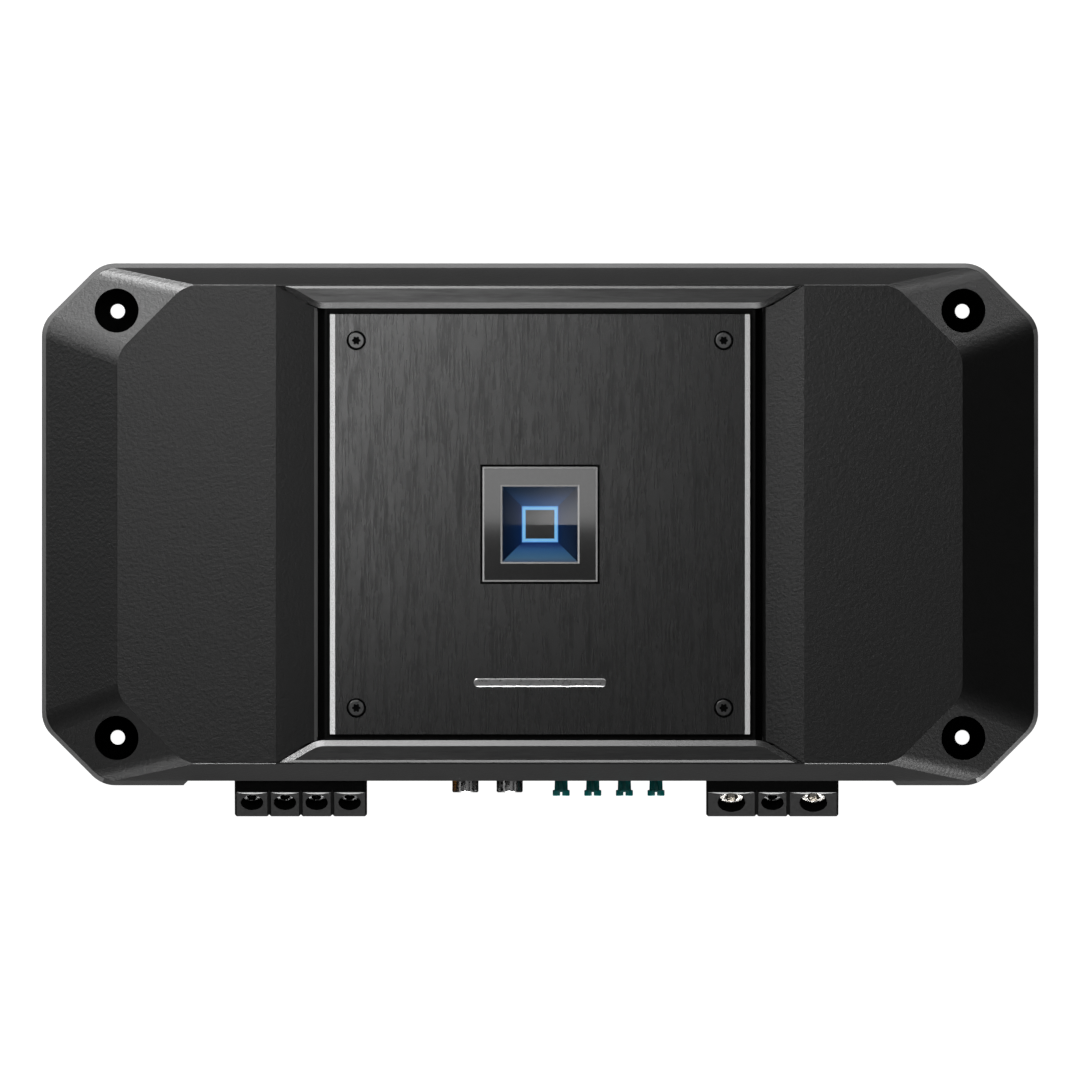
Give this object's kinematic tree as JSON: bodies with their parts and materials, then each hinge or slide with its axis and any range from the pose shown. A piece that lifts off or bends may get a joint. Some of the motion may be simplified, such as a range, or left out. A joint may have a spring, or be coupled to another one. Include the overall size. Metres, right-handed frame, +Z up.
{
  "type": "car amplifier",
  "caption": "Black mono car audio amplifier with a cast heat-sink case, brushed faceplate with a lit square badge, screw terminals, phono sockets and trimmer knobs.",
  "frame": {"origin": "centre of the four mounting holes, on the surface that the amplifier is screwed to", "axes": "+X along the length, to the right as seen from the terminals; +Y away from the terminals; +Z up through the faceplate"},
  "size_m": [0.3156, 0.1751, 0.0521],
  "materials": {
    "cast_black": "black powder coat with a fine sand texture",
    "base_steel": "satin black paint on sheet steel",
    "screw_black": "black zinc",
    "bar_anodised": "black anodised, brushed lengthways, bright chamfers",
    "carrier_black": "fine moulded texture",
    "faceplate_brushed": "black anodised, brushed front to rear, polished side chamfers",
    "faceplate_screw": "dark nickel",
    "satin_silver": "satin",
    "bezel_gunmetal": "satin gunmetal with polished edges",
    "lens_clear": "clear gloss",
    "cap_dark": "smoked gloss",
    "light_guide_blue": "lit, pale blue",
    "reflector_blue": "metallised blue",
    "board_green": "solder mask",
    "led_white": "clear gel",
    "panel_black": "satin black paint",
    "terminal_black": "gloss moulded top, satin slope",
    "brass_plated": "plated",
    "nickel": "bright nickel",
    "screw_dark": "dark steel",
    "socket_black": "moulded",
    "chrome": "polished",
    "gold": "gold flash",
    "pot_body": "moulded",
    "knob_teal": "moulded, semi-gloss",
    "slider_grey": "moulded",
    "fuse_amber": "tinted, translucent",
    "light_pipe": "clear",
    "ferrite": "ground ferrite",
    "copper": "enamelled wire",
    "can_sleeve": "shrink sleeve",
    "film_red": "dipped box",
    "epoxy": "moulded epoxy with a tinned tab",
    "pad_grey": "silicone pad",
    "zinc_steel": "zinc plated"
  },
  "bodies": {
    "amplifier": {"heatsink_cover": "cast_black", "base_plate": "base_steel", "base_plate_screws": "screw_black", "rear_trim_bar": "bar_anodised", "front_trim_bar": "bar_anodised", "trim_bar_screws": "screw_black", "faceplate_carrier": "carrier_black", "faceplate": "faceplate_brushed", "faceplate_screws": "faceplate_screw", "name_badge": "satin_silver", "badge_bezel": "bezel_gunmetal", "badge_lens": "lens_clear", "badge_centre_cap": "cap_dark", "light_guide": "light_guide_blue", "light_reflector": "reflector_blue", "led_board": "board_green", "led_chips": "led_white", "end_panel": "panel_black", "end_panel_screws": "screw_black", "speaker_terminal_housing": "terminal_black", "speaker_terminal_clamps": "brass_plated", "power_terminal_housing": "terminal_black", "power_terminal_clamps": "brass_plated", "rca_jack_housing": "socket_black", "rca_jack_shells": "chrome", "rca_jack_contacts": "gold", "potentiometer_bodies": "pot_body", "switch_housings": "pot_body", "remote_port": "socket_black", "fuse_socket": "socket_black", "status_light_pipes": "light_pipe", "main_board": "board_green", "main_board_screws": "screw_black", "control_board": "board_green", "transformer_core": "ferrite", "transformer_winding": "copper", "inductor_cores": "ferrite", "inductor_windings": "copper", "input_capacitors": "can_sleeve", "rail_capacitors": "can_sleeve", "film_capacitors": "film_red", "power_transistors": "epoxy", "thermal_pads": "pad_grey", "transistor_clamp_bars": "zinc_steel", "clamp_bar_screws": "screw_black"},
    "gain_knob": {"gain_knob": "knob_teal"},
    "crossover_knob": {"crossover_knob": "knob_teal"},
    "subsonic_knob": {"subsonic_knob": "knob_teal"},
    "bass_eq_knob": {"bass_eq_knob": "knob_teal"},
    "filter_switch_slider": {"filter_switch_slider": "slider_grey"},
    "input_switch_slider": {"input_switch_slider": "slider_grey"},
    "lower_fuse": {"lower_fuse": "fuse_amber"},
    "upper_fuse": {"upper_fuse": "fuse_amber"},
    "speaker_screw_1": {"speaker_screw_1": "screw_dark"},
    "speaker_screw_2": {"speaker_screw_2": "screw_dark"},
    "speaker_screw_3": {"speaker_screw_3": "screw_dark"},
    "speaker_screw_4": {"speaker_screw_4": "screw_dark"},
    "ground_screw": {"ground_screw": "nickel"},
    "remote_screw": {"remote_screw": "screw_dark"},
    "battery_screw": {"battery_screw": "nickel"}
  },
  "joints": [
    {"name": "gain_knob_turn", "type": "hinge", "parent": "amplifier", "child": "gain_knob", "pos_m": [0.0067, -0.08, 0.025], "axis": [0, -1, 0], "range_deg": [-140, 140]},
    {"name": "crossover_knob_turn", "type": "hinge", "parent": "amplifier", "child": "crossover_knob", "pos_m": [0.0167, -0.08, 0.025], "axis": [0, -1, 0], "range_deg": [-140, 140]},
    {"name": "subsonic_knob_turn", "type": "hinge", "parent": "amplifier", "child": "subsonic_knob", "pos_m": [0.0267, -0.08, 0.025], "axis": [0, -1, 0], "range_deg": [-140, 140]},
    {"name": "bass_eq_knob_turn", "type": "hinge", "parent": "amplifier", "child": "bass_eq_knob", "pos_m": [0.0367, -0.08, 0.025], "axis": [0, -1, 0], "range_deg": [-140, 140]},
    {"name": "filter_switch_slide", "type": "slide", "parent": "amplifier", "child": "filter_switch_slider", "axis": [1, 0, 0], "range_m": [-0.002, 0.002]},
    {"name": "input_switch_slide", "type": "slide", "parent": "amplifier", "child": "input_switch_slider", "axis": [1, 0, 0], "range_m": [-0.002, 0.002]},
    {"name": "lower_fuse_pull", "type": "slide", "parent": "amplifier", "child": "lower_fuse", "axis": [0, -1, 0], "range_m": [0, 0.018]},
    {"name": "upper_fuse_pull", "type": "slide", "parent": "amplifier", "child": "upper_fuse", "axis": [0, -1, 0], "range_m": [0, 0.018]},
    {"name": "speaker_screw_1_drive", "type": "slide", "parent": "amplifier", "child": "speaker_screw_1", "axis": [0, -0.7375, 0.6753], "range_m": [-0.0075, 0.0015]},
    {"name": "speaker_screw_2_drive", "type": "slide", "parent": "amplifier", "child": "speaker_screw_2", "axis": [0, -0.7375, 0.6753], "range_m": [-0.0075, 0.0015]},
    {"name": "speaker_screw_3_drive", "type": "slide", "parent": "amplifier", "child": "speaker_screw_3", "axis": [0, -0.7375, 0.6753], "range_m": [-0.0075, 0.0015]},
    {"name": "speaker_screw_4_drive", "type": "slide", "parent": "amplifier", "child": "speaker_screw_4", "axis": [0, -0.7375, 0.6753], "range_m": [-0.0075, 0.0015]},
    {"name": "ground_screw_drive", "type": "slide", "parent": "amplifier", "child": "ground_screw", "axis": [0, -0.7375, 0.6753], "range_m": [-0.006, 0.0015]},
    {"name": "remote_screw_drive", "type": "slide", "parent": "amplifier", "child": "remote_screw", "axis": [0, -0.7375, 0.6753], "range_m": [-0.0075, 0.0015]},
    {"name": "battery_screw_drive", "type": "slide", "parent": "amplifier", "child": "battery_screw", "axis": [0, -0.7375, 0.6753], "range_m": [-0.006, 0.0015]}
  ]
}
